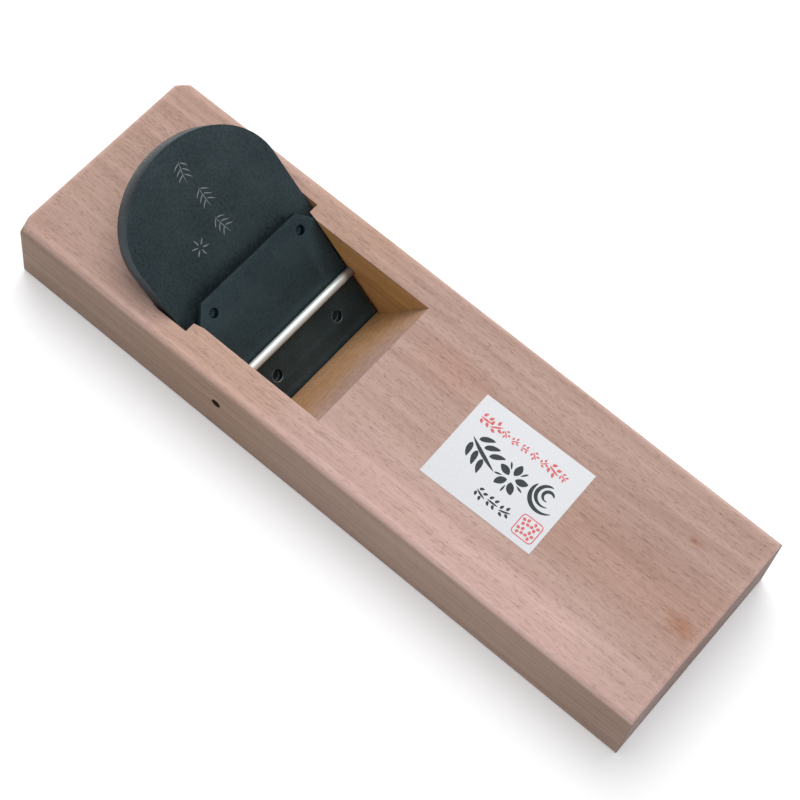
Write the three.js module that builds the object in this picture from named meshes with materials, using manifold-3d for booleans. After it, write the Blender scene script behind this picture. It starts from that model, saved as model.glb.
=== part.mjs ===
// A Japanese pull plane with a replaceable blade: an oak body, a steel cross pin, a wedge-shaped blade
// holder that slides in side grooves, a thin blade on its lower end, and a chipbreaker under the pin.
// Millimetres. The origin is the middle of the sole, +X the front end, +Z up.
import * as THREE from "three";
import { ConvexGeometry } from "three/addons/geometries/ConvexGeometry.js";
import { mergeVertices } from "three/addons/utils/BufferGeometryUtils.js";
import Module from "manifold-3d";

// Body
const BODY_LENGTH = 271;
const BODY_WIDTH = 84;
const BODY_HEIGHT = 33;
const TOP_EDGE_RADIUS = 3;
const END_EDGE_RADIUS = 2;
const SOLE_EDGE_CHAMFER = 0.5;
const HEAD_CORNER_CUT = 6;

// Blade plane: the bed rises 8 in 10, and the holder is a wedge that tapers towards the cutting edge
const BED_RISE = 0.8;
const WEDGE_ANGLE = THREE.MathUtils.degToRad(1.3);
const FACE_ANGLE = Math.atan(BED_RISE) + WEDGE_ANGLE;
const EDGE_X = -31.2;
const EDGE_Z = 0.25;
const GAP = 0.25;

// Blade holder
const HOLDER_LENGTH = 98.6;
const HOLDER_EDGE_THICKNESS = 4.8;
const HOLDER_EDGE_HALF_WIDTH = 33.2;
const HOLDER_HEAD_HALF_WIDTH = 34;
const HOLDER_HEAD_RISE = 27.6;

// Replaceable blade and the pegs that locate it
const BLADE_LENGTH = 24;
const BLADE_THICKNESS = 1;
const BLADE_HALF_WIDTH = 32;
const BLADE_CORNER = 1.5;
const BEVEL_ANGLE = THREE.MathUtils.degToRad(30);
const PEG_RADIUS = 1.8;
const PEG_LENGTH = 2.3;
const PEG_UP_SLOPE = 11;
const PEG_SPREAD = 16;

// Chipbreaker
const CHIPBREAKER_START = 0.25;
const CHIPBREAKER_LENGTH = 50.9;
const CHIPBREAKER_THICKNESS = 1.85;
const CHIPBREAKER_HALF_WIDTH = 29.4;
const CHIPBREAKER_CORNER_ALONG = 6;
const CHIPBREAKER_CORNER_ACROSS = 5;
const CHIPBREAKER_TILT = THREE.MathUtils.degToRad(3.8);
const CHIPBREAKER_SEAT = 0.12;
const FOOT_UP_SLOPE = 44.9;
const FOOT_SPREAD = 22.5;
const FOOT_RADIUS = 2.4;
const FOOT_TIP_RADIUS = 1.3;
const FOOT_WALL = 1;

// Cross pin
const PIN_X = -43.7;
const PIN_Z = 17.6;
const PIN_RADIUS = 1.7;
const PIN_FIT = 0.1;
const PIN_RECESS = 1.2;

// Throat
const THROAT_FRONT_X = -9.2;
const THROAT_HALF_WIDTH = 29.3;
const LIP_X = -30.85;
const LIP_HEIGHT = 2;
const LIP_LEAN = 0.5;
const LEDGE_END_X = -64.8;
const LEDGE_UNDERCUT = 2.3;
const LEDGE_UNDERCUT_DEPTH = 6;
const GROOVE_SIDE_PLAY = 0.6;

// Paper label
const LABEL_X = 50.5;
const LABEL_Y = -1;
const LABEL_TURN = THREE.MathUtils.degToRad(1.2);
const LABEL_LENGTH = 46.5;
const LABEL_WIDTH = 37.5;
const LABEL_THICKNESS = 0.15;

// Margins by which cutting shapes run past what they cut
const PAST = 4;
const WIDE = 60;
const ROUND_SEGMENTS = 32;
const QUARTER_SEGMENTS = 8;

const wasm = await Module();
wasm.setup();

function solid(geometry) {
  const positions = new THREE.BufferGeometry();
  const plain = geometry.index ? geometry.toNonIndexed() : geometry;
  positions.setAttribute("position", plain.getAttribute("position"));
  const merged = mergeVertices(positions, 1e-4);
  return new wasm.Manifold(
    new wasm.Mesh({
      numProp: 3,
      vertProperties: new Float32Array(merged.attributes.position.array),
      triVerts: new Uint32Array(merged.index.array),
    }),
  );
}

function geometryOf(manifold) {
  const mesh = manifold.getMesh();
  const indexed = new THREE.BufferGeometry();
  indexed.setAttribute("position", new THREE.BufferAttribute(mesh.vertProperties, 3));
  indexed.setIndex(new THREE.BufferAttribute(mesh.triVerts, 1));
  const geometry = indexed.toNonIndexed();
  geometry.computeVertexNormals();
  return geometry;
}

function shapeOf(points) {
  return new THREE.Shape(points.map(([a, b]) => new THREE.Vector2(a, b)));
}

// An outline of [x, z] points made solid from y = -halfWidth to y = halfWidth.
function acrossWidth(points, halfWidth) {
  const geometry = new THREE.ExtrudeGeometry(shapeOf(points), { depth: 2 * halfWidth, bevelEnabled: false });
  geometry.rotateX(Math.PI / 2);
  geometry.translate(0, halfWidth, 0);
  return solid(geometry);
}

// An outline of [y, z] points made solid from x = start to x = end.
function alongLength(points, start, end) {
  const geometry = new THREE.ExtrudeGeometry(shapeOf(points), { depth: end - start, bevelEnabled: false });
  geometry.rotateX(Math.PI / 2);
  geometry.rotateZ(Math.PI / 2);
  geometry.translate(start, 0, 0);
  return solid(geometry);
}

// An outline, a THREE.Shape of x and y, made solid from z = bottom to z = top.
function upwards(shape, bottom, top) {
  const settings = { depth: top - bottom, bevelEnabled: false, curveSegments: ROUND_SEGMENTS };
  const geometry = new THREE.ExtrudeGeometry(shape, settings);
  geometry.translate(0, 0, bottom);
  return solid(geometry);
}

function roundBar(radius, length) {
  return new THREE.CylinderGeometry(radius, radius, length, ROUND_SEGMENTS);
}

// The blade frame: its origin is the middle of the cutting edge, x runs down the holder's face to the
// mouth, z stands square to that face. A distance "up the slope" is therefore a negative x.
const bladeFrame = new THREE.Matrix4()
  .makeTranslation(EDGE_X, 0, EDGE_Z)
  .multiply(new THREE.Matrix4().makeRotationY(FACE_ANGLE));

function facePoint(upSlope, above) {
  const point = new THREE.Vector3(-upSlope, 0, above).applyMatrix4(bladeFrame);
  return [point.x, point.z];
}

function inBodyFrame(manifold) {
  return solid(geometryOf(manifold).applyMatrix4(bladeFrame));
}

function holderDepth(upSlope) {
  return HOLDER_EDGE_THICKNESS + upSlope * Math.tan(WEDGE_ANGLE);
}

// The sides run out evenly from the edge to the foot of the round head.
function holderHalfWidth(upSlope) {
  const widening = (HOLDER_HEAD_HALF_WIDTH - HOLDER_EDGE_HALF_WIDTH) / (HOLDER_LENGTH - HOLDER_HEAD_RISE);
  return HOLDER_EDGE_HALF_WIDTH + widening * upSlope;
}

function bedPoint(upSlope) {
  return facePoint(upSlope, -holderDepth(upSlope) - GAP);
}

// The point of the bed at height z.
function bedAtHeight(z) {
  const [x0, z0] = bedPoint(0);
  return [x0 - (z - z0) / BED_RISE, z];
}

// The two rounded top corners of an outline that is 2 * half wide.
function roundedTop(half, radius) {
  const points = [];
  for (const side of [1, -1]) {
    for (let i = 0; i <= QUARTER_SEGMENTS; i++) {
      const turn = (Math.PI / 2) * (i / QUARTER_SEGMENTS + (side === 1 ? 0 : 1));
      const across = side * (half - radius) + radius * Math.cos(turn);
      points.push([across, BODY_HEIGHT - radius + radius * Math.sin(turn)]);
    }
  }
  return points;
}

function bodyBlock() {
  const half = BODY_WIDTH / 2;
  const section = [
    [-half, SOLE_EDGE_CHAMFER],
    [-half + SOLE_EDGE_CHAMFER, 0],
    [half - SOLE_EDGE_CHAMFER, 0],
    [half, SOLE_EDGE_CHAMFER],
    ...roundedTop(half, TOP_EDGE_RADIUS),
  ];
  const halfLength = BODY_LENGTH / 2;
  const sideView = [[-halfLength, 0], [halfLength, 0], ...roundedTop(halfLength, END_EDGE_RADIUS)];
  let block = alongLength(section, -halfLength, halfLength).intersect(acrossWidth(sideView, WIDE));
  for (const side of [-1, 1]) block = block.subtract(headCornerCut(side));
  return block.subtract(throat()).subtract(pinHole());
}

// The three-way cut across a top corner of the head end.
function headCornerCut(side) {
  const reach = HEAD_CORNER_CUT + 3 * PAST;
  const [x, y, z] = [-BODY_LENGTH / 2 - PAST, side * (BODY_WIDTH / 2 + PAST), BODY_HEIGHT + PAST];
  const corner = new THREE.Vector3(x, y, z);
  const steps = [[reach, 0, 0], [0, -side * reach, 0], [0, 0, -reach]];
  const tips = steps.map((step) => corner.clone().add(new THREE.Vector3(...step)));
  return solid(new ConvexGeometry([corner, ...tips]));
}

function throat() {
  const overTop = BODY_HEIGHT + PAST;
  const wallLean = (THROAT_FRONT_X - LIP_X - LIP_LEAN) / (BODY_HEIGHT - LIP_HEIGHT);
  const outline = [
    [LIP_X, -PAST],
    [LIP_X, 0],
    [LIP_X + LIP_LEAN, LIP_HEIGHT],
    [THROAT_FRONT_X + wallLean * PAST, overTop],
    bedAtHeight(overTop),
    bedAtHeight(-PAST),
  ];
  const between = acrossWidth(outline, THROAT_HALF_WIDTH);
  const undercut = ledgeUndercut().intersect(acrossWidth(outline, WIDE));
  return between.add(undercut).add(grooves());
}

// The flared foot of the cheeks, which leaves room for the chipbreaker's edges.
function ledgeUndercut() {
  const below = 1;
  const foot = THROAT_HALF_WIDTH + (LEDGE_UNDERCUT * (LEDGE_UNDERCUT_DEPTH + below)) / LEDGE_UNDERCUT_DEPTH;
  const section = [
    [-foot, -below],
    [foot, -below],
    [THROAT_HALF_WIDTH, LEDGE_UNDERCUT_DEPTH],
    [-THROAT_HALF_WIDTH, LEDGE_UNDERCUT_DEPTH],
  ];
  return inBodyFrame(alongLength(section, -HOLDER_LENGTH, PAST));
}

// The side grooves that hold the blade down on its bed, open above behind the ledges.
function grooves() {
  const bladeSpace = [
    facePoint(-2 * PAST, GAP),
    facePoint(HOLDER_LENGTH, GAP),
    bedPoint(HOLDER_LENGTH),
    bedPoint(-2 * PAST),
  ];
  const overTop = BODY_HEIGHT + PAST;
  const [bedX, bedZ] = bedPoint(0);
  const behindLedges = [
    [LEDGE_END_X, overTop],
    bedAtHeight(overTop),
    [LEDGE_END_X, bedZ + (bedX - LEDGE_END_X) * BED_RISE],
  ];
  const plan = [-2 * PAST, HOLDER_LENGTH].map((upSlope) => {
    const halfWidth = holderHalfWidth(upSlope) + GROOVE_SIDE_PLAY;
    return [[-upSlope, -halfWidth], [-upSlope, halfWidth]];
  });
  const planShape = shapeOf([plan[1][0], plan[0][0], plan[0][1], plan[1][1]]);
  const sides = inBodyFrame(upwards(planShape, -WIDE, WIDE));
  const heights = acrossWidth(bladeSpace, WIDE).add(acrossWidth(behindLedges, WIDE));
  return sides.intersect(heights);
}

function pinHole() {
  return solid(roundBar(PIN_RADIUS + PIN_FIT, 2 * WIDE).translate(PIN_X, 0, PIN_Z));
}

function crossPin() {
  return solid(roundBar(PIN_RADIUS, BODY_WIDTH - 2 * PIN_RECESS).translate(PIN_X, 0, PIN_Z));
}

// Plan of the holder in the blade frame: sides that widen evenly, then half an ellipse for the head.
function holderPlan() {
  const headFoot = HOLDER_LENGTH - HOLDER_HEAD_RISE;
  const shape = new THREE.Shape();
  shape.moveTo(0, -HOLDER_EDGE_HALF_WIDTH);
  shape.lineTo(0, HOLDER_EDGE_HALF_WIDTH);
  const turn = Math.PI / 2;
  shape.absellipse(-headFoot, 0, HOLDER_HEAD_RISE, HOLDER_HEAD_HALF_WIDTH, turn, 3 * turn, false);
  return shape;
}

function bladeHolder() {
  const bevelStart = CHIPBREAKER_START;
  const slope = Math.tan(BEVEL_ANGLE);
  const recessDepth = BLADE_THICKNESS + GAP;
  const recessEnd = BLADE_LENGTH + GAP;
  const heel = (HOLDER_EDGE_THICKNESS + bevelStart * slope) / (slope - Math.tan(WEDGE_ANGLE));
  const side = [
    [-HOLDER_LENGTH - PAST, 0],
    [-HOLDER_LENGTH - PAST, -holderDepth(HOLDER_LENGTH + PAST)],
    [-heel, -holderDepth(heel)],
    [-bevelStart - recessDepth / slope, -recessDepth],
    [-recessEnd, -recessDepth],
    [-recessEnd, 0],
  ];
  let holder = acrossWidth(side, WIDE).intersect(upwards(holderPlan(), -WIDE, WIDE));
  for (const y of [-PEG_SPREAD, PEG_SPREAD]) {
    const pegSeat = roundBar(PEG_RADIUS + PIN_FIT, 2 * (CHIPBREAKER_SEAT + PEG_LENGTH + GAP));
    holder = holder.subtract(solid(pegSeat.rotateX(Math.PI / 2).translate(-PEG_UP_SLOPE, y, 0)));
  }
  return holder;
}

function replaceableBlade() {
  const bevelLength = BLADE_THICKNESS / Math.tan(BEVEL_ANGLE);
  const side = [
    [0, 0],
    [-BLADE_LENGTH, 0],
    [-BLADE_LENGTH, -BLADE_THICKNESS],
    [-bevelLength, -BLADE_THICKNESS],
  ];
  const inner = BLADE_HALF_WIDTH - BLADE_CORNER;
  const plan = shapeOf([
    [0, -inner],
    [0, inner],
    [-BLADE_CORNER, BLADE_HALF_WIDTH],
    [-BLADE_LENGTH, BLADE_HALF_WIDTH],
    [-BLADE_LENGTH, -BLADE_HALF_WIDTH],
    [-BLADE_CORNER, -BLADE_HALF_WIDTH],
  ]);
  let blade = acrossWidth(side, WIDE).intersect(upwards(plan, -WIDE, WIDE));
  for (const y of [-PEG_SPREAD, PEG_SPREAD]) {
    const pegHole = roundBar(PEG_RADIUS + GAP, WIDE).rotateX(Math.PI / 2);
    blade = blade.subtract(solid(pegHole.translate(-PEG_UP_SLOPE, y, 0)));
  }
  return blade;
}

// A peg is a round bar whose top is just under the blade's face.
function bladePeg(y) {
  const bar = roundBar(PEG_RADIUS, PEG_LENGTH).rotateX(Math.PI / 2);
  return solid(bar.translate(-PEG_UP_SLOPE, y, -CHIPBREAKER_SEAT - PEG_LENGTH / 2));
}

// The plate in its own frame: x is 0 at its lower end and falls up the slope, z is 0 at its underside.
function chipbreaker() {
  const frontBevel = 3.2;
  const lipThickness = 0.35;
  const seatLength = 1.5;
  const length = CHIPBREAKER_LENGTH;
  const side = [
    [0, 0],
    [0, lipThickness],
    [-frontBevel, CHIPBREAKER_THICKNESS],
    [-length, CHIPBREAKER_THICKNESS],
    [-length, 0],
    [-seatLength, 0],
  ];
  const half = CHIPBREAKER_HALF_WIDTH;
  const [along, across] = [CHIPBREAKER_CORNER_ALONG, CHIPBREAKER_CORNER_ACROSS];
  const plan = shapeOf([
    [0, -half],
    [0, half],
    [-length + along, half],
    [-length, half - across],
    [-length, -half + across],
    [-length + along, -half],
  ]);
  let plate = acrossWidth(side, WIDE).intersect(upwards(plan, -WIDE, WIDE));
  const window = PEG_RADIUS + PIN_FIT + GAP;
  const windowX = CHIPBREAKER_START - PEG_UP_SLOPE;
  for (const y of [-PEG_SPREAD, PEG_SPREAD]) {
    plate = plate.subtract(solid(roundBar(window, WIDE).rotateX(Math.PI / 2).translate(windowX, y, 0)));
  }
  for (const y of [-FOOT_SPREAD, FOOT_SPREAD]) plate = plate.add(foot(y, 0)).subtract(foot(y, FOOT_WALL));
  return plate;
}

// A foot pressed down out of the plate, turned about its own axis: the cup's outside where inset is 0,
// and its inside where inset is a wall thickness.
function foot(y, inset) {
  const depth = FOOT_UP_SLOPE * Math.tan(CHIPBREAKER_TILT) - inset;
  const top = CHIPBREAKER_THICKNESS + inset;
  const profile = [
    [0, -depth],
    [FOOT_TIP_RADIUS - inset / 2, -depth],
    [FOOT_RADIUS - inset / 2, -depth + FOOT_TIP_RADIUS],
    [FOOT_RADIUS - inset / 2, top],
    [0, top],
  ];
  const turned = new THREE.LatheGeometry(profile.map(([r, h]) => new THREE.Vector2(r, h)), ROUND_SEGMENTS);
  return solid(turned.rotateX(Math.PI / 2).translate(-FOOT_UP_SLOPE, y, 0));
}

function paperLabel() {
  const [x, y] = [LABEL_LENGTH / 2, LABEL_WIDTH / 2];
  const plan = shapeOf([[-x, -y], [x, -y], [x, y], [-x, y]]);
  const sheet = geometryOf(upwards(plan, BODY_HEIGHT, BODY_HEIGHT + LABEL_THICKNESS));
  return solid(sheet.rotateZ(LABEL_TURN).translate(LABEL_X, LABEL_Y, 0));
}

const oak = { color: 0xbd9c8f, roughness: 0.75, metalness: 0 };
const blackSteel = { color: 0x2f383a, roughness: 0.5, metalness: 0.7 };
const brightSteel = { color: 0xdcdfe0, roughness: 0.2, metalness: 1 };
const paper = { color: 0xe8e8e6, roughness: 0.9, metalness: 0 };

function part(name, manifold, finish) {
  const mesh = new THREE.Mesh(geometryOf(manifold), new THREE.MeshStandardMaterial(finish));
  mesh.name = name;
  return mesh;
}

const plane = new THREE.Group();
plane.add(part("body_block", bodyBlock(), oak));
plane.add(part("cross_pin", crossPin(), brightSteel));
plane.add(part("paper_label", paperLabel(), paper));

const bladeGroup = new THREE.Group();
bladeGroup.position.set(EDGE_X, 0, EDGE_Z);
bladeGroup.rotation.y = FACE_ANGLE;
bladeGroup.add(part("blade_holder", bladeHolder(), blackSteel));
bladeGroup.add(part("replaceable_blade", replaceableBlade(), brightSteel));
bladeGroup.add(part("left_blade_peg", bladePeg(-PEG_SPREAD), blackSteel));
bladeGroup.add(part("right_blade_peg", bladePeg(PEG_SPREAD), blackSteel));
plane.add(bladeGroup);

const chipbreakerGroup = new THREE.Group();
chipbreakerGroup.position.set(-CHIPBREAKER_START, 0, CHIPBREAKER_SEAT);
chipbreakerGroup.rotation.y = CHIPBREAKER_TILT;
chipbreakerGroup.add(part("chipbreaker", chipbreaker(), blackSteel));
bladeGroup.add(chipbreakerGroup);

export default plane;
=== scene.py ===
"""Looks of a Japanese pull plane: oak block, black wedge blade under a bright cross pin, paper label.

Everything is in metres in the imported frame: the origin is the middle of the sole, +X the front end,
+Z up. Sizes written in millimetres are turned into metres with MM.
"""

import math

import bmesh
import bpy
from mathutils import Matrix, Vector


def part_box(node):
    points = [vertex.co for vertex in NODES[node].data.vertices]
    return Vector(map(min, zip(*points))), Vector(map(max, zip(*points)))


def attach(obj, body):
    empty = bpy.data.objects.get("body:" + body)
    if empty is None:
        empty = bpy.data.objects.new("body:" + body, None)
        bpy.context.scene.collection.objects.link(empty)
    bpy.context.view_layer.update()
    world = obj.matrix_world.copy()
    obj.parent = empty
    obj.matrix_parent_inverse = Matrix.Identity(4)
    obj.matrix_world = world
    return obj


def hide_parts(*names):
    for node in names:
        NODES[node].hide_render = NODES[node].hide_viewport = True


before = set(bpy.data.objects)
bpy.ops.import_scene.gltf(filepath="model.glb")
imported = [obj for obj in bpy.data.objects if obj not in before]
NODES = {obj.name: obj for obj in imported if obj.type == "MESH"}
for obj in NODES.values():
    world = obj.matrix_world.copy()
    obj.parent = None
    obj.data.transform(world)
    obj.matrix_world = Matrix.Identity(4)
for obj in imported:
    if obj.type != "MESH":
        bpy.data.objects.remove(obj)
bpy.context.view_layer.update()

MM = 0.001

# The face of the blade holder: its cutting edge, and the angle at which it rises towards the head end.
EDGE_POINT = Vector((-31.2, 0, 0.25)) * MM
BED_SLOPE = 0.8
WEDGE_ANGLE = math.radians(1.3)
FACE_ANGLE = math.atan(BED_SLOPE) + WEDGE_ANGLE
FACE = Matrix.Translation(EDGE_POINT) @ Matrix.Rotation(FACE_ANGLE, 4, "Y")

# The chipbreaker's own frame lies on that face: x is 0 at its lower end, z is 0 at its underside. In
# millimetres: the height of its upper face there, and the places and radius of its two windows.
CHIPBREAKER_START = Vector((-0.25, 0, 0.12)) * MM
CHIPBREAKER_TILT = math.radians(3.8)
CHIPBREAKER = FACE @ Matrix.Translation(CHIPBREAKER_START) @ Matrix.Rotation(CHIPBREAKER_TILT, 4, "Y")
CHIPBREAKER_TOP = 1.85
WINDOW_UP_SLOPE = 10.75
WINDOW_SPREAD = 16
WINDOW_RADIUS = 2.15

# The label lies a little askew on the block.
LABEL_TURN = math.radians(1.2)

# The camera, solved from the seven visible corners of the block: its place, its turn in degrees and
# its lens and sensor in millimetres.
CAMERA_PLACE = Vector((178.43, -310.57, 733.33)) * MM
CAMERA_TURN = (26.14, -5.26, 39.98)
CAMERA_LENS = 103.93
SENSOR_WIDTH = 36

# Colours are linear red, green, blue and 1. A tint multiplies the colour under it.
OAK_PALE = (0.508, 0.341, 0.288, 1)
OAK_TAWNY = (0.370, 0.228, 0.184, 1)
PALE_BAND_TINT = (1.27, 1.29, 1.34, 1)
BESIDE_THROAT_TINT = (1.0, 0.965, 0.89, 1)
HEAD_END_TINT = (0.975, 0.96, 0.93, 1)
RED_ZONE_TINT = (0.95, 0.89, 0.85, 1)
RAY_TINT = (0.62, 0.53, 0.47, 1)
PORE_TINT = (0.55, 0.47, 0.41, 1)
END_GRAIN_TINT = (0.55, 0.56, 0.58, 1)
# Painted shade on the block's sides.
SIDE_SHADE_TINT = (0.59, 0.588, 0.52, 1)
# Paler worn rims, partly a painted highlight.
WORN_RIM_HIGHLIGHT_TINT = (1.25, 1.26, 1.29, 1)
# Painted shade in the throat.
CHEEK_SHADE_TINT = (1.28, 1.08, 0.50, 1)
DEEP_WALL_SHADE_TINT = (1.0, 0.87, 0.53, 1)
RIGHT_WALL_SHADOW_TINT = (0.97, 0.92, 0.76, 1)
# Painted shade round the cross pin's hole.
PIN_HOLE_SHADE_TINT = (0.16, 0.13, 0.11, 1)
HOLDER_DARK = (0.0155, 0.0257, 0.029, 1)
HOLDER_LIGHT = (0.034, 0.050, 0.0535, 1)
PLATE_DARK = (0.014, 0.027, 0.031, 1)
PLATE_LIGHT = (0.033, 0.053, 0.058, 1)
# Pale rubbed steel edges, partly a painted highlight.
RUBBED_AND_HIGHLIGHT_TINT = (3.4, 3.8, 4.4, 1)
# Painted bluish reflection on the steel's side walls.
STEEL_WALL_SHEEN_TINT = (0.70, 0.92, 1.12, 1)
# Painted shade on steel ends that face the head.
STEEL_END_SHADE_TINT = (0.35, 0.35, 0.35, 1)
BURNISHED = (0.26, 0.30, 0.31, 1)
PIN_BRIGHT = (0.75, 0.78, 0.76, 1)
GROUND = (0.66, 0.67, 0.68, 1)
SCRIBED = (0.34, 0.36, 0.36, 1)
# Painted shade at the ends of the cross pin.
OUTER_SHADE_TINT = (0.30, 0.26, 0.23, 1)
PAPER_WHITE = (0.735, 0.742, 0.762, 1)
PAPER_GREY = (0.655, 0.662, 0.682, 1)
BLACK_INK = (0.016, 0.022, 0.028, 1)
BLACK_INK_THIN = (0.055, 0.072, 0.085, 1)
RED_INK = (0.64, 0.10, 0.11, 1)
RED_INK_THIN = (0.72, 0.30, 0.28, 1)
FLOOR_WHITE = (0.96, 0.96, 0.96, 1)
FLOOR_MOTTLE = (0.94, 0.94, 0.94, 1)
# Painted shade on the floor under the plane.
FLOOR_SHADE_TINT = (0.03, 0.03, 0.03, 1)
SKY_COLOUR = (0.93, 0.96, 1.0, 1)
WHITE = (1, 1, 1, 1)
BLACK = (0, 0, 0, 1)

# The growth rings lie round a heart far under the sole, which wanders sideways along the block. The pale
# band and the red zone of the top stray a little too. In millimetres.
HEART_BELOW = 120
HEART_WANDER = 46
RING_WIDTH = 3.4
BAND_WANDER = 9

# How strongly the rays and the pores of the oak show, how dark stained steel is beside clean steel, and
# over how many millimetres the painted shade on bright steel fades in.
RAY_SHARE = 0.32
PORE_SHARE = 0.32
STAINED_SHARE = 0.8
SHADE_FADE = 3.5

# How a CAD mesh is joined up and rounded. Points and faces closer than SAME_POINT and SAME_PLANE are one.
SAME_POINT = 0.002 * MM
SAME_PLANE = math.radians(0.3)
SHARP_EDGE = math.radians(28)
ANY_EDGE = math.radians(20)
ROUND_STEPS = 3

# The throat's top front edge is worn round, and the other edges of the block are only eased: radii in
# millimetres. An edge within NEAR of the throat's front and of the top is the worn one.
WORN_RADIUS = 2.6
FRESH_RADIUS = 0.35
THROAT_FRONT = -9.2 * MM
NEAR = 0.5 * MM

# The width of a leaf's tips as a share of its full width, and how full it is: less is fuller.
TIP = 0.12
FULLNESS = 0.8

# The undersides and tops of the marks, from the label's surface. Each mark rises a LAYER above the one
# before it, so that no two lie in one plane. The lines on the holder rise LINE_RELIEF.
MARK_BOTTOM = -0.01 * MM
MARK_TOP = 0.012 * MM
LAYER = 0.0006 * MM
LINE_RELIEF = 0.02 * MM

# The heavier sprigs of the red column, counted from the throat.
HEAVY_REDS = (0, 1, 7)

# The burr round a window: its section outwards and upwards in millimetres where it is thickest, how
# far it laps over the window's rim, its thinnest place as a share of the thickest, and where that is.
RIM_SECTION = ((0.02, -0.30), (0.34, 0.10), (0.52, 0.08), (0.68, -0.04))
RIM_LAP = 0.04
RIM_THINNEST = 0.12
RIM_WIDEST = math.radians(-45)
RIM_STEPS = 40

# The floor: how far it reaches from the middle in metres, how strongly it glows, and half the length
# and width in millimetres of its patch of painted shade under the plane. The sky is the light from all
# round.
FLOOR_REACH = 6.0
FLOOR_GLOW = 0.16
SHADE_PATCH = (126, 36)
SKY_STRENGTH = 0.52

# The sockets of a Mix node that mixes colours: its share and its two colours, and its result.
MIX_INPUTS = (0, 6, 7)
MIX_RESULT = 2


# ---------------------------------------------------------------- materials


def connect(tree, value, socket):
    """value is a node's output, which is linked to socket, or a plain value, which is set on it."""
    if isinstance(value, bpy.types.NodeSocket):
        tree.links.new(value, socket)
    else:
        socket.default_value = value


def add(tree, kind, inputs=None, **settings):
    node = tree.nodes.new("ShaderNode" + kind)
    for name, value in settings.items():
        setattr(node, name, value)
    for name, value in (inputs or {}).items():
        connect(tree, value, node.inputs[name])
    return node


def calc(tree, operation, *values):
    node = tree.nodes.new("ShaderNodeMath")
    node.operation = operation
    for value, socket in zip(values, node.inputs):
        connect(tree, value, socket)
    return node.outputs[0]


def rescale(tree, value, low, high, to_low=0.0, to_high=1.0):
    """value between low and high, eased to between to_low and to_high."""
    node = add(tree, "MapRange", interpolation_type="SMOOTHSTEP")
    for name, given in (("Value", value), ("From Min", low), ("From Max", high)):
        connect(tree, given, node.inputs[name])
    node.inputs["To Min"].default_value = to_low
    node.inputs["To Max"].default_value = to_high
    return node.outputs[0]


def place_in_mm(tree, stretch=(1, 1, 1), turn=0.0):
    """The point in the part's own frame, in millimetres divided by stretch. turn is about Y."""
    coordinates = add(tree, "TexCoord").outputs["Object"]
    turned = add(tree, "Mapping", {"Vector": coordinates, "Rotation": (0, turn, 0)}).outputs[0]
    scale = tuple(1 / (MM * s) for s in stretch)
    return add(tree, "Mapping", {"Vector": turned, "Scale": scale}).outputs[0]


def noise(tree, place, detail=2.0, roughness=0.5, distortion=0.0):
    inputs = {"Vector": place, "Scale": 1.0, "Detail": detail}
    inputs.update({"Roughness": roughness, "Distortion": distortion})
    return add(tree, "TexNoise", inputs).outputs[0]


def mix_colour(tree, share, first, second, blend="MIX"):
    node = add(tree, "Mix", data_type="RGBA", blend_type=blend)
    for value, place in zip((share, first, second), MIX_INPUTS):
        connect(tree, value, node.inputs[place])
    return node.outputs[MIX_RESULT]


def bump(tree, height, depth_mm, under=None):
    inputs = {"Height": height, "Distance": depth_mm * MM, "Strength": 1.0}
    if under is not None:
        inputs["Normal"] = under
    return add(tree, "Bump", inputs).outputs[0]


def material(name):
    made = bpy.data.materials.new(name)
    made.use_nodes = True
    return made, made.node_tree, made.node_tree.nodes["Principled BSDF"]


def inside_of(tree, value, low, high, soft):
    """1 where value lies between low and high, fading to 0 over soft on either side."""
    above = rescale(tree, value, low - soft, low + soft)
    under = rescale(tree, value, high - soft, high + soft, 1.0, 0.0)
    return calc(tree, "MULTIPLY", above, under)


def tinted(tree, share, colour, tint):
    return mix_colour(tree, share, colour, tint, "MULTIPLY")


def oak_grain(tree, across, height):
    """Growth rings, fibres, streaks, pores and rays, each as a share from 0 to 1."""
    wander = noise(tree, place_in_mm(tree, (160, 45, 45)), 2)
    shifted = calc(tree, "ADD", across, calc(tree, "MULTIPLY", wander, HEART_WANDER))
    from_heart = calc(tree, "SQRT", squared_distance(tree, (shifted, height), (0, -HEART_BELOW)))
    ring_count = calc(tree, "DIVIDE", from_heart, RING_WIDTH)
    ring = rescale(tree, calc(tree, "FRACT", ring_count), 0.25, 1.0)
    fibre = noise(tree, place_in_mm(tree, (22, 0.55, 0.55)), 4, 0.65)
    streak = noise(tree, place_in_mm(tree, (110, 3.2, 3.2)), 4, 0.6)
    pore = rescale(tree, noise(tree, place_in_mm(tree, (3.0, 0.24, 0.24)), 2), 0.61, 0.70)
    ray = rescale(tree, noise(tree, place_in_mm(tree, (3.4, 0.40, 2.6)), 2), 0.64, 0.72)
    return ring, fibre, streak, pore, ray


def normal_of(tree, kind="True Normal"):
    """The X, Y and Z shares of the surface's direction."""
    return add(tree, "SeparateXYZ", {"Vector": add(tree, "NewGeometry").outputs[kind]}).outputs


def size_of(tree, value):
    return calc(tree, "ABSOLUTE", value)


def both(tree, *shares):
    """The product of several shares from 0 to 1."""
    product = shares[0]
    for share in shares[1:]:
        product = calc(tree, "MULTIPLY", product, share)
    return product


def squared_distance(tree, point, middle, reach=(1, 1)):
    """The squared distance of point from middle, counted in reaches: reach has one for each direction."""
    squares = []
    for value, centre, size in zip(point, middle, reach):
        offset = calc(tree, "DIVIDE", calc(tree, "SUBTRACT", value, centre), size)
        squares.append(calc(tree, "POWER", offset, 2))
    return calc(tree, "ADD", *squares)


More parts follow.
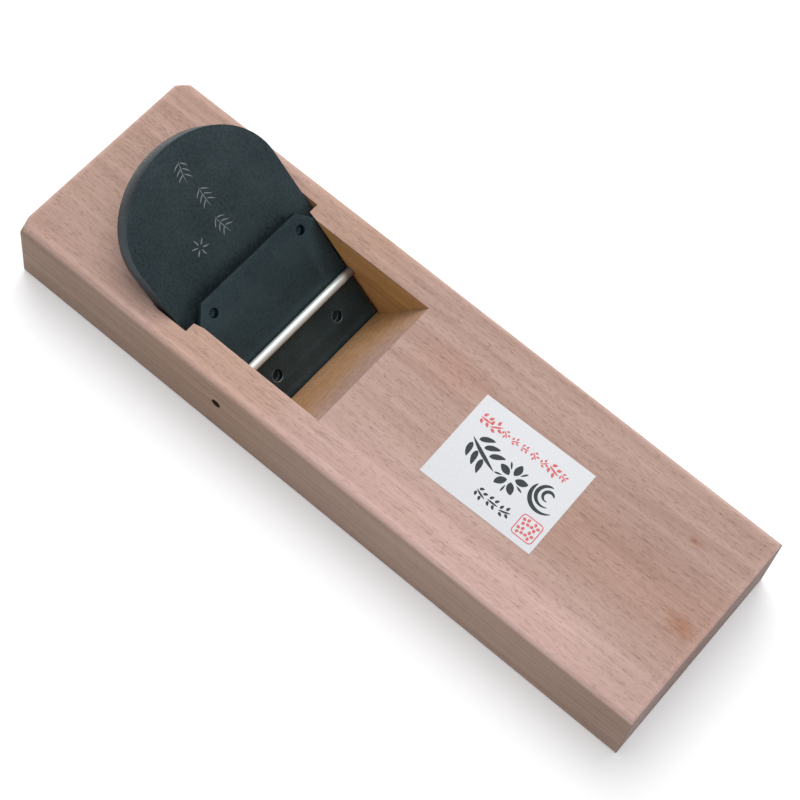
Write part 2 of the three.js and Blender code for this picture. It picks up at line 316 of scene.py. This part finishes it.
# Stained spots in the top: middle and reach in millimetres along and across the block, and their tint.
SPOTS = (
    ((127, -5), (9, 6), (0.86, 0.70, 0.58, 1)),
    ((113, 22), (5, 2.4), (0.86, 0.72, 0.62, 1)),
    ((101, 12), (34, 19), (0.93, 0.93, 0.94, 1)),
    ((12, 16), (26, 14), (0.98, 0.90, 0.86, 1)),
)


def spotted(tree, along, across, colour):
    ragged = noise(tree, place_in_mm(tree, (9, 3.5, 9)), 4, 0.65)
    for middle, reach, tint in SPOTS:
        distance = calc(tree, "SQRT", squared_distance(tree, (along, across), middle, reach))
        frayed = calc(tree, "ADD", distance, ragged)
        colour = tinted(tree, rescale(tree, frayed, 0.5, 1.5, 1.0, 0.0), colour, tint)
    return colour


def planed_colour(tree, along, across, ring, fibre, streak):
    """Tawny lines on a pinkish ground, paler along the left edge and redder near the front."""
    tone = calc(tree, "MULTIPLY", ring, 0.20)
    tone = calc(tree, "ADD", tone, rescale(tree, fibre, 0.28, 0.72, 0.0, 0.42))
    tone = calc(tree, "ADD", tone, rescale(tree, streak, 0.3, 0.7, -0.15, 0.36))
    colour = mix_colour(tree, tone, OAK_PALE, OAK_TAWNY)

    wander = calc(tree, "SUBTRACT", noise(tree, place_in_mm(tree, (90, 400, 400)), 2), 0.5)
    shifted = calc(tree, "ADD", across, calc(tree, "MULTIPLY", wander, BAND_WANDER))
    pale_band = both(
        tree,
        rescale(tree, shifted, -31, -14, 1.0, 0.0),
        rescale(tree, along, -80, 60, 0.2, 1.0),
        rescale(tree, along, 92, 130, 1.0, 0.5),
    )
    beside_throat = both(
        tree,
        inside_of(tree, along, -78, -22, 16),
        rescale(tree, size_of(tree, across), 27, 30),
    )
    head_end = rescale(tree, along, -96, -78, 1.0, 0.0)
    red_zone = both(tree, rescale(tree, along, 56, 82), inside_of(tree, shifted, -15, 15, 13))
    for share, tint in (
        (pale_band, PALE_BAND_TINT),
        (beside_throat, BESIDE_THROAT_TINT),
        (head_end, HEAD_END_TINT),
        (red_zone, RED_ZONE_TINT),
    ):
        colour = tinted(tree, share, colour, tint)
    return spotted(tree, along, across, colour)


def cut_colour(tree, colour, along, across, height):
    """Sides are darker with painted shade, end grain is darker, and worn edges are paler, partly with a
    painted highlight.
    """
    true_x, true_y, true_z = normal_of(tree)
    end_grain = rescale(tree, size_of(tree, true_x), 0.9, 1.0)
    colour = tinted(tree, end_grain, colour, END_GRAIN_TINT)
    # Painted shade: the sides are darkened as if turned from the light.
    outside = rescale(tree, size_of(tree, across), 39.8, 41.2)
    side = both(tree, outside, rescale(tree, height, 27.8, 32.2, 1.0, 0.0))
    colour = tinted(tree, side, colour, SIDE_SHADE_TINT)

    # The rounded rims are paler: partly wear, partly a painted highlight on the rounding.
    smooth_z = normal_of(tree, "Normal")[2]
    long_rim = rescale(tree, size_of(tree, across), 38.2, 39.5)
    end_rim = rescale(tree, size_of(tree, along), 132.8, 134.0)
    rim = calc(tree, "MAXIMUM", long_rim, end_rim)
    slanted = both(tree, inside_of(tree, smooth_z, 0.2, 0.97, 0.12), rescale(tree, true_z, 0.0, 0.1))
    return tinted(tree, both(tree, rim, slanted), colour, WORN_RIM_HIGHLIGHT_TINT)


def throat_colour(tree, colour, along, across, height):
    """The throat gets painted shade: amber on its cheeks, browner on its walls with depth and towards the
    right, and dark round the cross hole.
    """
    sideways = size_of(tree, normal_of(tree)[1])
    inner = both(
        tree,
        inside_of(tree, across, -39, 39, 1),
        inside_of(tree, height, 1, 32.4, 0.5),
        inside_of(tree, along, -128, 100, 2),
    )
    # Painted warm shade on the cheeks.
    cheek = both(tree, inner, rescale(tree, sideways, 0.5, 0.9))
    colour = tinted(tree, cheek, colour, CHEEK_SHADE_TINT)
    wall = both(tree, inner, rescale(tree, sideways, 0.5, 0.9, 1.0, 0.0))
    # Painted shade, browner deeper down the throat's walls.
    deep_wall_shade = both(tree, wall, rescale(tree, height, 12, 33, 1.0, 0.1))
    colour = tinted(tree, deep_wall_shade, colour, DEEP_WALL_SHADE_TINT)
    # Painted shadow of the right cheek on the right part of the walls.
    right_wall_shadow = both(tree, wall, rescale(tree, across, 8, 26))
    colour = tinted(tree, right_wall_shadow, colour, RIGHT_WALL_SHADOW_TINT)

    low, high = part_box("cross_pin")
    pin = (low + high) / 2 / MM
    # Painted shade round the cross pin where it goes into the wood.
    near_pin = rescale(tree, squared_distance(tree, (along, height), (pin.x, pin.z)), 3.4, 4.4, 1.0, 0.0)
    pin_hole_shade = both(tree, near_pin, rescale(tree, size_of(tree, across), 28, 29))
    return tinted(tree, pin_hole_shade, colour, PIN_HOLE_SHADE_TINT)


def oak():
    made, tree, shader = material("oak")
    along, across, height = add(tree, "SeparateXYZ", {"Vector": place_in_mm(tree)}).outputs
    ring, fibre, streak, pore, ray = oak_grain(tree, across, height)
    colour = planed_colour(tree, along, across, ring, fibre, streak)
    colour = tinted(tree, calc(tree, "MULTIPLY", ray, RAY_SHARE), colour, RAY_TINT)
    colour = tinted(tree, calc(tree, "MULTIPLY", pore, PORE_SHARE), colour, PORE_TINT)
    colour = cut_colour(tree, colour, along, across, height)
    colour = throat_colour(tree, colour, along, across, height)
    connect(tree, colour, shader.inputs["Base Color"])

    gloss = calc(tree, "ADD", 0.58, calc(tree, "MULTIPLY", fibre, 0.24))
    connect(tree, gloss, shader.inputs["Roughness"])
    relief = bump(tree, fibre, 0.05)
    relief = bump(tree, calc(tree, "SUBTRACT", 1.0, pore), 0.07, relief)
    connect(tree, relief, shader.inputs["Normal"])
    shader.inputs["Specular IOR Level"].default_value = 0.35
    return made


def black_steel(name, dark, light, grain_mm, scale_depth):
    """Blackened forged steel: a mottled oxide skin with fine scratches up and down the slope. The skin
    is rubbed paler on the rounded edges of the upper face, partly with a painted highlight. Its side
    walls get a painted bluish reflection, and ends that face the head get painted shade."""
    made, tree, shader = material(name)
    skin = noise(tree, place_in_mm(tree, (grain_mm, grain_mm, grain_mm)), 5, 0.6)
    cloud = noise(tree, place_in_mm(tree, (14, 14, 14)), 3)
    scratch = noise(tree, place_in_mm(tree, (24, 0.35, 24), FACE_ANGLE), 3, 0.6)
    mottle = rescale(tree, skin, 0.3, 0.7, 0, 0.6)
    share = calc(tree, "ADD", mottle, rescale(tree, cloud, 0.35, 0.7, 0, 0.4))
    colour = mix_colour(tree, share, dark, light)

    facing = add(tree, "VectorMath", operation="DOT_PRODUCT")
    connect(tree, add(tree, "NewGeometry").outputs["Normal"], facing.inputs[0])
    facing.inputs[1].default_value = (math.sin(FACE_ANGLE), 0, math.cos(FACE_ANGLE))
    outward = facing.outputs["Value"]
    # Rubbed paler edges of the upper face: partly wear, partly a painted highlight.
    worn = rescale(tree, skin, 0.3, 0.55, 0.4, 1.0)
    rubbed_and_highlight = both(tree, inside_of(tree, outward, 0.3, 0.93, 0.1), worn)
    colour = tinted(tree, rubbed_and_highlight, colour, RUBBED_AND_HIGHLIGHT_TINT)
    # Painted bluish reflection on the side walls.
    wall = rescale(tree, outward, 0.0, 0.3, 1.0, 0.0)
    colour = tinted(tree, wall, colour, STEEL_WALL_SHEEN_TINT)
    # Painted shade on ends that face the head, such as the chipbreaker's upper edge.
    end = rescale(tree, normal_of(tree)[0], -0.62, -0.5, 1.0, 0.0)
    connect(tree, tinted(tree, end, colour, STEEL_END_SHADE_TINT), shader.inputs["Base Color"])

    dull = rescale(tree, skin, 0.3, 0.7, 0.36, 0.5)
    gloss = calc(tree, "ADD", dull, rescale(tree, scratch, 0.55, 0.75, 0.0, 0.1))
    connect(tree, gloss, shader.inputs["Roughness"])
    relief = bump(tree, skin, scale_depth)
    relief = bump(tree, scratch, 0.02, relief)
    connect(tree, relief, shader.inputs["Normal"])
    shader.inputs["Metallic"].default_value = 0.5
    return made


def bright_steel(name, colour, roughness, stretch, turn=0.0, metal=1.0, shade_from=60.0):
    """Drawn or ground steel, whose fine lines run along the longest side of stretch. It is darkened brown
    with painted shade further from the middle than the given distance in millimetres, as where the
    cheeks shade the cross pin's ends."""
    made, tree, shader = material(name)
    line = noise(tree, place_in_mm(tree, stretch, turn), 3, 0.6)
    stain = noise(tree, place_in_mm(tree, (9, 9, 9)), 3)
    darker = tuple(c * STAINED_SHARE for c in colour[:3]) + (1,)
    stained = rescale(tree, stain, 0.3, 0.8, 0.4, 1.0)
    share = calc(tree, "MULTIPLY", rescale(tree, line, 0.35, 0.7), stained)
    across = add(tree, "SeparateXYZ", {"Vector": place_in_mm(tree)}).outputs[1]
    reach = calc(tree, "ADD", size_of(tree, across), calc(tree, "MULTIPLY", stain, 3))
    # Painted shade where the cheeks shade the ends of the cross pin.
    outer_shade = rescale(tree, reach, shade_from, shade_from + SHADE_FADE)
    finish = tinted(tree, outer_shade, mix_colour(tree, share, colour, darker), OUTER_SHADE_TINT)
    connect(tree, finish, shader.inputs["Base Color"])
    gloss = calc(tree, "ADD", roughness, calc(tree, "MULTIPLY", line, 0.14))
    connect(tree, gloss, shader.inputs["Roughness"])
    connect(tree, bump(tree, line, 0.01), shader.inputs["Normal"])
    shader.inputs["Metallic"].default_value = metal
    return made


def label_paper():
    made, tree, shader = material("label_paper")
    pulp = noise(tree, place_in_mm(tree, (0.5, 0.5, 0.5)), 4, 0.65)
    strand = noise(tree, place_in_mm(tree, (4, 0.3, 1)), 3, 0.6, 1.5)
    clots = rescale(tree, pulp, 0.3, 0.7, 0, 0.6)
    share = calc(tree, "ADD", clots, rescale(tree, strand, 0.55, 0.75, 0, 0.4))
    connect(tree, mix_colour(tree, share, PAPER_WHITE, PAPER_GREY), shader.inputs["Base Color"])
    connect(tree, bump(tree, pulp, 0.02), shader.inputs["Normal"])
    connect(tree, rescale(tree, pulp, 0.3, 0.7, 0.78, 0.92), shader.inputs["Roughness"])
    return made


def ink(name, thick, thin):
    """Brushed or stamped ink, a little paler where it took less."""
    made, tree, shader = material(name)
    cover = noise(tree, place_in_mm(tree, (0.7, 0.35, 0.7)), 4, 0.65)
    colour = mix_colour(tree, rescale(tree, cover, 0.45, 0.72), thick, thin)
    connect(tree, colour, shader.inputs["Base Color"])
    connect(tree, rescale(tree, cover, 0.3, 0.7, 0.6, 0.8), shader.inputs["Roughness"])
    connect(tree, bump(tree, cover, 0.008), shader.inputs["Normal"])
    return made


def floor_paint():
    """A pale matt table that glows faintly, painted light that lifts the shadows on it. Under the plane
    it is painted dark with shade and does not glow, so none of it shines up through the mouth."""
    made, tree, shader = material("floor_paint")
    along, across = add(tree, "SeparateXYZ", {"Vector": place_in_mm(tree)}).outputs[:2]
    under = both(
        tree,
        inside_of(tree, along, -SHADE_PATCH[0], SHADE_PATCH[0], 2),
        inside_of(tree, across, -SHADE_PATCH[1], SHADE_PATCH[1], 2),
    )
    mottle = noise(tree, place_in_mm(tree, (60, 60, 60)), 3)
    colour = mix_colour(tree, mottle, FLOOR_WHITE, FLOOR_MOTTLE)
    connect(tree, tinted(tree, under, colour, FLOOR_SHADE_TINT), shader.inputs["Base Color"])
    glow = mix_colour(tree, under, WHITE, BLACK)
    connect(tree, glow, shader.inputs["Emission Color"])
    shader.inputs["Emission Strength"].default_value = FLOOR_GLOW
    shader.inputs["Roughness"].default_value = 0.9
    return made


def paint(piece, finish):
    piece.data.materials.clear()
    piece.data.materials.append(finish)
    for face in piece.data.polygons:
        face.material_index = 0


# ---------------------------------------------------------------- shapes


def round_edges(piece, radius_mm, limit):
    """limit is ANGLE, which rounds the sharp edges, or WEIGHT, which rounds each edge by its weight."""
    edge = piece.modifiers.new("round_edges", "BEVEL")
    edge.width = radius_mm * MM
    edge.segments = ROUND_STEPS
    edge.limit_method = limit
    edge.angle_limit = SHARP_EDGE
    edge.harden_normals = True
    for face in piece.data.polygons:
        face.use_smooth = True


def soften(piece, radius_mm):
    """Joins the triangles of a CAD node into flat faces and rounds its sharp edges, with modifiers."""
    weld = piece.modifiers.new("weld", "WELD")
    weld.merge_threshold = SAME_POINT
    flat = piece.modifiers.new("flat_faces", "DECIMATE")
    flat.decimate_type = "DISSOLVE"
    flat.angle_limit = SAME_PLANE
    round_edges(piece, radius_mm, "ANGLE")


def piece_of(name, mesh_maker, finish, body):
    """A new piece whose mesh is made by mesh_maker(bmesh)."""
    bm = bmesh.new()
    mesh_maker(bm)
    bmesh.ops.recalc_face_normals(bm, faces=bm.faces)
    data = bpy.data.meshes.new(name)
    bm.to_mesh(data)
    bm.free()
    made = bpy.data.objects.new(name, data)
    bpy.context.scene.collection.objects.link(made)
    paint(made, finish)
    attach(made, body)
    return made


def oak_block(finish):
    """The block with its edges eased: a little everywhere, and much more at the throat's front edge."""
    node = NODES["body_block"]
    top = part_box("body_block")[1].z

    def shape(bm):
        bm.from_mesh(node.data)
        bmesh.ops.remove_doubles(bm, verts=bm.verts, dist=SAME_POINT)
        bmesh.ops.dissolve_limit(bm, angle_limit=SAME_PLANE, verts=bm.verts, edges=bm.edges)
        weight = bm.edges.layers.float.new("bevel_weight_edge")
        for edge in bm.edges:
            if len(edge.link_faces) != 2 or edge.calc_face_angle(0) < ANY_EDGE:
                continue
            middle = (edge.verts[0].co + edge.verts[1].co) / 2
            worn = abs(middle.x - THROAT_FRONT) < NEAR and top - middle.z < NEAR
            edge[weight] = 1.0 if worn else FRESH_RADIUS / WORN_RADIUS

    block = piece_of("oak_block", shape, finish, "body")
    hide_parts("body_block")
    round_edges(block, WORN_RADIUS, "WEIGHT")


def slab(bm, outline, bottom, top, frame_matrix):
    """A closed prism over a flat outline of (x, y) points."""
    rings = []
    for z in (bottom, top):
        rings.append([bm.verts.new(frame_matrix @ Vector((x, y, z))) for x, y in outline])
    lower, upper = rings
    count = len(outline)
    bm.faces.new(upper)
    bm.faces.new(list(reversed(lower)))
    for i in range(count):
        j = (i + 1) % count
        bm.faces.new((lower[i], lower[j], upper[j], upper[i]))


def band(bm, outer, inner, bottom, top, frame_matrix):
    """A closed flat ring between two outlines that have the same number of points."""
    def ring(points, z):
        return [bm.verts.new(frame_matrix @ Vector((x, y, z))) for x, y in points]

    loops = [ring(outer, bottom), ring(outer, top), ring(inner, top), ring(inner, bottom)]
    for k in range(4):
        one, other = loops[k], loops[(k + 1) % 4]
        for i in range(len(outer)):
            j = (i + 1) % len(outer)
            bm.faces.new((one[i], one[j], other[j], other[i]))


# ---------------------------------------------------------------- generic marks


def away(start, angle, distance):
    return (start[0] + math.cos(angle) * distance, start[1] + math.sin(angle) * distance)


def leaf(base, angle, length, width, bend=0.0, blunt=0.75, steps=9):
    """Outline of one brushed leaf: it starts at base, points along angle and curls by bend. Its broadest
    place is nearer the base when blunt is small."""
    left, right = [], []
    x, y = base
    step = length / steps
    for i in range(steps + 1):
        t = i / steps
        heading = angle + bend * (t - 0.5)
        half = 0.5 * width * (TIP + (1 - TIP) * math.sin(math.pi * t ** blunt) ** FULLNESS)
        side = (-math.sin(heading) * half, math.cos(heading) * half)
        left.append((x + side[0], y + side[1]))
        right.append((x - side[0], y - side[1]))
        x += math.cos(heading) * step
        y += math.sin(heading) * step
    return left + right[::-1]


def blossom(centre, size, stroke, petals=5, first=0.2):
    """Petals round an open middle, the first of them at the angle first."""
    marks = []
    for k in range(petals):
        angle = first + math.tau * k / petals
        marks.append(leaf(away(centre, angle, size * 0.12), angle, size * 0.38, stroke, 0.35, 0.95))
    return marks


def plum_blossom(centre, size):
    """A full flower: five broad petals, and five stamens between them."""
    marks = blossom(centre, size, size * 0.22, 5, 0.3)
    for k in range(5):
        angle = 0.93 + math.tau * k / 5
        marks.append(leaf(away(centre, angle, size * 0.26), angle, size * 0.24, size * 0.06, 0.0, 1.2))
    return marks


def ripples(centre, size, stroke, count=3):
    """Open arcs one outside the other, like water round a stone."""
    marks = []
    for k in range(count):
        radius = size * (0.16 + 0.17 * k)
        sweep = 4.6 - 0.9 * k
        start_angle = 0.6 + 1.1 * k
        heading = start_angle + math.pi / 2 + sweep / 2
        start = away(centre, start_angle, radius)
        marks.append(leaf(start, heading, radius * sweep, stroke * (0.8 + 0.1 * k), sweep, 0.8, 20))
    return marks


def sprig(centre, size, stroke, angle=0.0, pairs=2):
    """A short stem with pairs of leaves."""
    start = away(centre, angle, -size / 2)
    marks = [leaf(start, angle, size, stroke * 0.7, 0.2, 1.0)]
    for k in range(pairs):
        up_stem = size * (0.12 + 0.5 * k / max(1, pairs - 1))
        for side in (-1, 1):
            base = away(away(start, angle, up_stem), angle + math.pi / 2, side * stroke * 0.6)
            marks.append(leaf(base, angle + side * 0.9, size * 0.4, stroke, -0.4 * side))
    return marks


def rounded_square(centre, side, corner, steps=5):
    cx, cy = centre
    inset = side / 2 - corner
    points = []
    for quarter, (sx, sy) in enumerate(((1, 1), (-1, 1), (-1, -1), (1, -1))):
        for i in range(steps + 1):
            turn = math.pi / 2 * (quarter + i / steps)
            points.append(away((cx + sx * inset, cy + sy * inset), turn, corner))
    return points


def in_metres(outline):
    return [(x * MM, y * MM) for x, y in outline]


def label_marks(black, red):
    """Generic ornament where a printed label carries its marks: no letters, only leaves and flowers.
    Places are millimetres from the label's middle, along and across it."""
    low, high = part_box("paper_label")
    middle = (low + high) / 2
    on_label = Matrix.Translation((middle.x, middle.y, high.z)) @ Matrix.Rotation(LABEL_TURN, 4, "Z")

    def slabs(bm, outlines):
        for k, outline in enumerate(outlines):
            slab(bm, in_metres(outline), MARK_BOTTOM, MARK_TOP + k * LAYER, on_label)

    def black_marks(bm):
        outlines = sprig((-10.6, 0.2), 14.2, 2.1, -0.42, 3)
        outlines += plum_blossom((2.0, -0.9), 12.4)
        outlines += ripples((15.8, 1.7), 12.0, 1.6)
        for k in range(3):
            outlines += sprig((-2.3 + 5.0 * k, -12.1), 4.4, 1.05, 0.35 * (k - 1))
        slabs(bm, outlines)

    def red_marks(bm):
        outlines = []
        for k in range(9):
            heavy = 1.4 if k in HEAVY_REDS else 0.9
            place = (-17.4 + 4.1 * k, 10.9)
            outlines += sprig(place, 3.4 * heavy, 0.8 * heavy, 0.8 * math.sin(2.3 * k))
        seal = (17.3, -12.0)
        for side in (-1, 1):
            for end in (-1, 1):
                place = (seal[0] + 1.8 * end, seal[1] + 1.8 * side)
                outlines += blossom(place, 3.7, 1.15, 4, 0.4 * end)
        slabs(bm, outlines)
        outer = in_metres(rounded_square(seal, 8.7, 1.5))
        inner = in_metres(rounded_square(seal, 7.9, 1.1))
        band(bm, outer, inner, MARK_BOTTOM, MARK_TOP, on_label)

    piece_of("label_brush_marks", black_marks, black, "body")
    piece_of("label_red_marks", red_marks, red, "body")


def engraved_marks(finish):
    """Fine bright lines cut in the holder's face: a column of leaf sprigs and one small flower."""
    def lines(bm):
        outlines = []
        for k, (up, y) in enumerate(((88.0, 0.9), (76.2, 2.4), (64.6, 1.9))):
            outlines += sprig((-up, y), 8.4, 0.42, 0.25 * (k - 1), 3)
        outlines += blossom((-63.8, -10.2), 7.0, 0.5, 6)
        for outline in outlines:
            slab(bm, in_metres(outline), -LINE_RELIEF, LINE_RELIEF, FACE)

    piece_of("engraved_sprigs", lines, finish, "blade")


def window_rims(finish):
    """The burr that punching left round each window of the chipbreaker, widest on one side."""
    def burr_ring(bm, y, outward, above):
        ring = []
        for i in range(RIM_STEPS):
            turn = math.tau * i / RIM_STEPS
            thick = RIM_THINNEST + (1 - RIM_THINNEST) * (0.5 + 0.5 * math.cos(turn - RIM_WIDEST)) ** 1.5
            radius = WINDOW_RADIUS - RIM_LAP + outward * thick
            spot = (
                radius * math.cos(turn) - WINDOW_UP_SLOPE,
                radius * math.sin(turn) + y,
                CHIPBREAKER_TOP + above * thick,
            )
            ring.append(bm.verts.new(CHIPBREAKER @ (Vector(spot) * MM)))
        return ring

    def rims(bm):
        for y in (-WINDOW_SPREAD, WINDOW_SPREAD):
            rings = [burr_ring(bm, y, outward, above) for outward, above in RIM_SECTION]
            for k in range(len(rings)):
                one, other = rings[k], rings[(k + 1) % len(rings)]
                for i in range(RIM_STEPS):
                    j = (i + 1) % RIM_STEPS
                    bm.faces.new((one[i], one[j], other[j], other[i])).smooth = True

    piece_of("window_rims", rims, finish, "chipbreaker")


# ---------------------------------------------------------------- stage


def stage_floor():
    bm = bmesh.new()
    bmesh.ops.create_grid(bm, x_segments=8, y_segments=8, size=FLOOR_REACH)
    data = bpy.data.meshes.new("floor")
    bm.to_mesh(data)
    bm.free()
    floor = bpy.data.objects.new("floor", data)
    bpy.context.scene.collection.objects.link(floor)
    paint(floor, floor_paint())


def soft_box(name, place, width, watts, colour=(1, 1, 1)):
    """A square soft light that looks at the origin."""
    lamp = bpy.data.lights.new(name, "AREA")
    lamp.shape = "RECTANGLE"
    lamp.size = lamp.size_y = width
    lamp.energy = watts
    lamp.color = colour
    stand = bpy.data.objects.new(name, lamp)
    stand.location = place
    stand.rotation_euler = (-Vector(place)).to_track_quat("-Z", "Y").to_euler()
    bpy.context.scene.collection.objects.link(stand)


def studio_light():
    world = bpy.data.worlds.new("studio")
    world.use_nodes = True
    background = world.node_tree.nodes["Background"]
    background.inputs["Color"].default_value = SKY_COLOUR
    background.inputs["Strength"].default_value = SKY_STRENGTH
    bpy.context.scene.world = world
    soft_box("key", place=(-0.45, 0.55, 1.15), width=1.1, watts=10.8, colour=(1.0, 0.985, 0.96))
    soft_box("top", place=(0.25, -0.1, 1.5), width=1.2, watts=5.4)


def camera():
    data = bpy.data.cameras.new("camera")
    data.lens = CAMERA_LENS
    data.sensor_width = SENSOR_WIDTH
    data.clip_start, data.clip_end = 0.05, 50
    made = bpy.data.objects.new("camera", data)
    made.location = CAMERA_PLACE
    made.rotation_euler = [math.radians(a) for a in CAMERA_TURN]
    bpy.context.scene.collection.objects.link(made)
    bpy.context.scene.camera = made
    bpy.context.scene.view_settings.view_transform = "Standard"


# ---------------------------------------------------------------- the plane


def build():
    camera()
    oak_block(oak())

    holder = black_steel("black_steel", HOLDER_DARK, HOLDER_LIGHT, grain_mm=0.9, scale_depth=0.05)
    plate = black_steel("black_plate", PLATE_DARK, PLATE_LIGHT, grain_mm=0.6, scale_depth=0.03)
    burnished = bright_steel("burnished_steel", BURNISHED, roughness=0.32, stretch=(0.6, 0.6, 0.6))
    pin = bright_steel("pin_steel", PIN_BRIGHT, 0.3, stretch=(0.12, 20, 0.12), metal=0.5, shade_from=25)
    ground = bright_steel("ground_steel", GROUND, 0.24, stretch=(20, 0.15, 20), turn=FACE_ANGLE)
    scribed = bright_steel("scribed_steel", SCRIBED, 0.4, stretch=(1.5, 0.3, 1.5), turn=FACE_ANGLE)

    # Each node's finish, and the radius of its softened edges in millimetres.
    finishes = {
        "cross_pin": (pin, 0.25),
        "paper_label": (label_paper(), 0.04),
        "blade_holder": (holder, 0.45),
        "replaceable_blade": (ground, 0.06),
        "left_blade_peg": (holder, 0.4),
        "right_blade_peg": (holder, 0.4),
        "chipbreaker": (plate, 0.18),
    }
    for name, (finish, radius) in finishes.items():
        paint(NODES[name], finish)
        soften(NODES[name], radius)

    label_marks(ink("black_ink", BLACK_INK, BLACK_INK_THIN), ink("red_ink", RED_INK, RED_INK_THIN))
    engraved_marks(scribed)
    window_rims(burnished)
    stage_floor()
    studio_light()


build()
